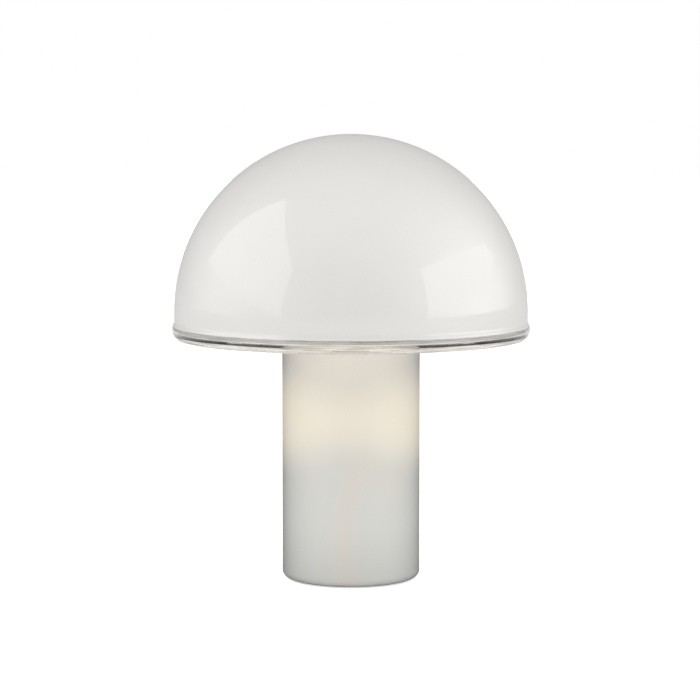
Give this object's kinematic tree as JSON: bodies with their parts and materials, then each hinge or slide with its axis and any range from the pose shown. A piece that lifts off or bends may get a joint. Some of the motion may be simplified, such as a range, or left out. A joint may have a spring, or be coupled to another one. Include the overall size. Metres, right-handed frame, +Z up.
{
  "type": "table lamp",
  "caption": "Mushroom table lamp with a cased opal glass dome on an opal glass column; the dome lifts off and the bulbs unscrew.",
  "frame": {"origin": "centre of the base on the table", "axes": "+Z up, the front faces -Y, the cable inlet is at the back, towards +Y"},
  "size_m": [0.3602, 0.3602, 0.4484],
  "materials": {
    "opal_glass": "glossy opal white",
    "clear_glass": "glossy clear",
    "foot_rubber": "matt black",
    "sleeve_silicone": "matt translucent white",
    "zinc_steel": "bright zinc",
    "ballast_iron": "dark lacquer",
    "white_steel": "satin white",
    "holder_plastic": "satin white",
    "holder_metal": "plain",
    "contact_brass": "plain",
    "bulb_solder": "dull solder",
    "bulb_insulator": "black glassy",
    "bulb_cap_metal": "rolled",
    "bulb_glass": "white coated",
    "block_plastic": "natural white",
    "gland_plastic": "white",
    "lead_sheath": "white silicone"
  },
  "bodies": {
    "base": {"ballast_disc": "ballast_iron", "base_plate": "zinc_steel", "cable_gland": "gland_plastic", "cap_carrier": "white_steel", "carrier_sleeves": "sleeve_silicone", "central_tube": "zinc_steel", "column_clear_casing": "clear_glass", "column_opal_glass": "opal_glass", "foot_ring": "foot_rubber", "gland_nut": "gland_plastic", "gland_washer": "foot_rubber", "holder_nipples": "zinc_steel", "holder_nuts": "zinc_steel", "left_holder_contact": "contact_brass", "left_holder_housing": "holder_plastic", "left_holder_shell": "holder_metal", "left_lead": "lead_sheath", "lower_bracket": "zinc_steel", "lower_gasket": "foot_rubber", "right_holder_contact": "contact_brass", "right_holder_housing": "holder_plastic", "right_holder_shell": "holder_metal", "right_lead": "lead_sheath", "terminal_block": "block_plastic", "terminal_screws": "contact_brass", "tube_nuts": "zinc_steel", "tube_washers": "zinc_steel", "upper_gasket": "foot_rubber", "upper_holder_contact": "contact_brass", "upper_holder_housing": "holder_plastic", "upper_holder_shell": "holder_metal", "upper_lead": "lead_sheath"},
    "cap": {"cap_opal_glass": "opal_glass", "cap_clear_casing": "clear_glass", "cap_rim_bead": "clear_glass"},
    "left_bulb_end": {"left_bulb_tip": "bulb_solder", "left_bulb_insulator": "bulb_insulator"},
    "left_bulb": {"left_bulb_cap": "bulb_cap_metal", "left_bulb_glass": "bulb_glass"},
    "right_bulb_end": {"right_bulb_tip": "bulb_solder", "right_bulb_insulator": "bulb_insulator"},
    "right_bulb": {"right_bulb_cap": "bulb_cap_metal", "right_bulb_glass": "bulb_glass"},
    "upper_bulb_end": {"upper_bulb_tip": "bulb_solder", "upper_bulb_insulator": "bulb_insulator"},
    "upper_bulb": {"upper_bulb_cap": "bulb_cap_metal", "upper_bulb_glass": "bulb_glass"}
  },
  "joints": [
    {"name": "cap_lift", "type": "slide", "parent": "base", "child": "cap", "axis": [0, 0, 1], "range_m": [0, 0.25]},
    {"name": "left_bulb_advance", "type": "slide", "parent": "base", "child": "left_bulb_end", "axis": [0, 0, 1], "range_m": [0, 0.01128]},
    {"name": "left_bulb_turn", "type": "hinge", "parent": "left_bulb_end", "child": "left_bulb", "pos_m": [-0.032, 0, 0.11], "axis": [0, 0, 1], "range_deg": [0, 1441]},
    {"name": "right_bulb_advance", "type": "slide", "parent": "base", "child": "right_bulb_end", "axis": [0, 0, 1], "range_m": [0, 0.01128]},
    {"name": "right_bulb_turn", "type": "hinge", "parent": "right_bulb_end", "child": "right_bulb", "pos_m": [0.032, 0, 0.11], "axis": [0, 0, 1], "range_deg": [0, 1441]},
    {"name": "upper_bulb_advance", "type": "slide", "parent": "base", "child": "upper_bulb_end", "axis": [0, 0, 1], "range_m": [0, 0.01452]},
    {"name": "upper_bulb_turn", "type": "hinge", "parent": "upper_bulb_end", "child": "upper_bulb", "pos_m": [0, 0, 0.27], "axis": [0, 0, 1], "range_deg": [0, 1441]}
  ],
  "couplings": [
    {"joint": "left_bulb_turn", "follows": "left_bulb_advance", "rad_per_m": 2228.1},
    {"joint": "right_bulb_turn", "follows": "right_bulb_advance", "rad_per_m": 2228.1},
    {"joint": "upper_bulb_turn", "follows": "upper_bulb_advance", "rad_per_m": 1730.9}
  ]
}
